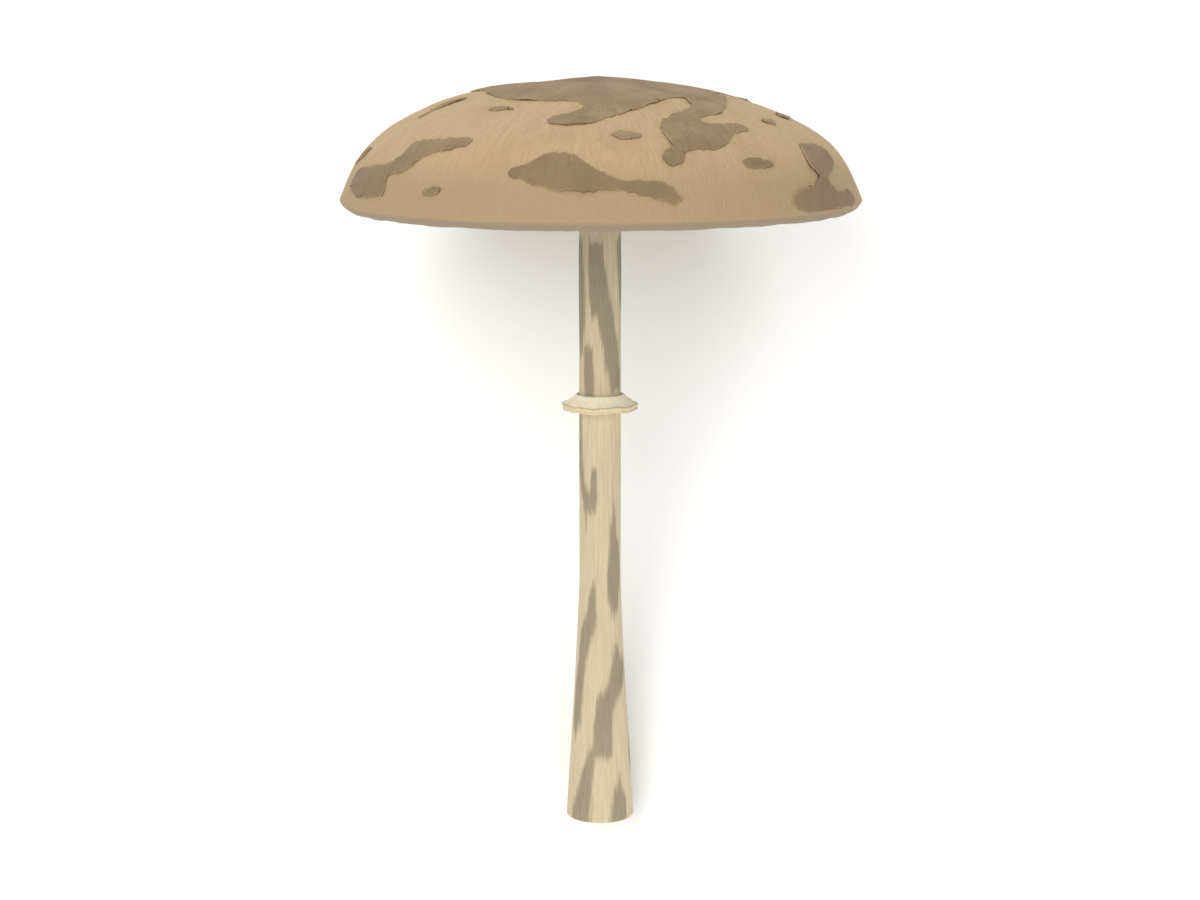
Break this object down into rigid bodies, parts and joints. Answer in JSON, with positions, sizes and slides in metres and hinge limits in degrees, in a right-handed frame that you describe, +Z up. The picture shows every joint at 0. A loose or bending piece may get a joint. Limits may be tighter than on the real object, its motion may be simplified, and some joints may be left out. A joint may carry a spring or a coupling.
{
  "type": "parasol mushroom",
  "caption": "Picked parasol mushroom lying on its side: broad domed cap with torn brown scales, free gills, a loose sliding ring, and a slender stem that widens to its foot.",
  "frame": {"origin": "middle of the mushroom's bounding box, on the surface that it lies on", "axes": "+Y from the stem's foot towards the cap, +Z up from the surface; the stem rises towards the cap at 18.8 degrees, in the YZ plane"},
  "size_m": [0.18, 0.2616, 0.168],
  "materials": {
    "cap_skin": "dry suede-like skin, tan, with raised brown scales and a brown crown",
    "gill": "soft matt cream",
    "stem_skin": "cream with fibrous grey-brown bands, matt",
    "ring_felt": "felted cream, matt"
  },
  "bodies": {
    "mushroom": {"cap": "cap_skin", "gills": "gill", "stem": "stem_skin"},
    "ring": {"ring": "ring_felt"}
  },
  "joints": [
    {"name": "ring_slide", "type": "slide", "parent": "mushroom", "child": "ring", "axis": [0, 0.9468, 0.3219], "range_m": [-0.06, 0.08]}
  ]
}
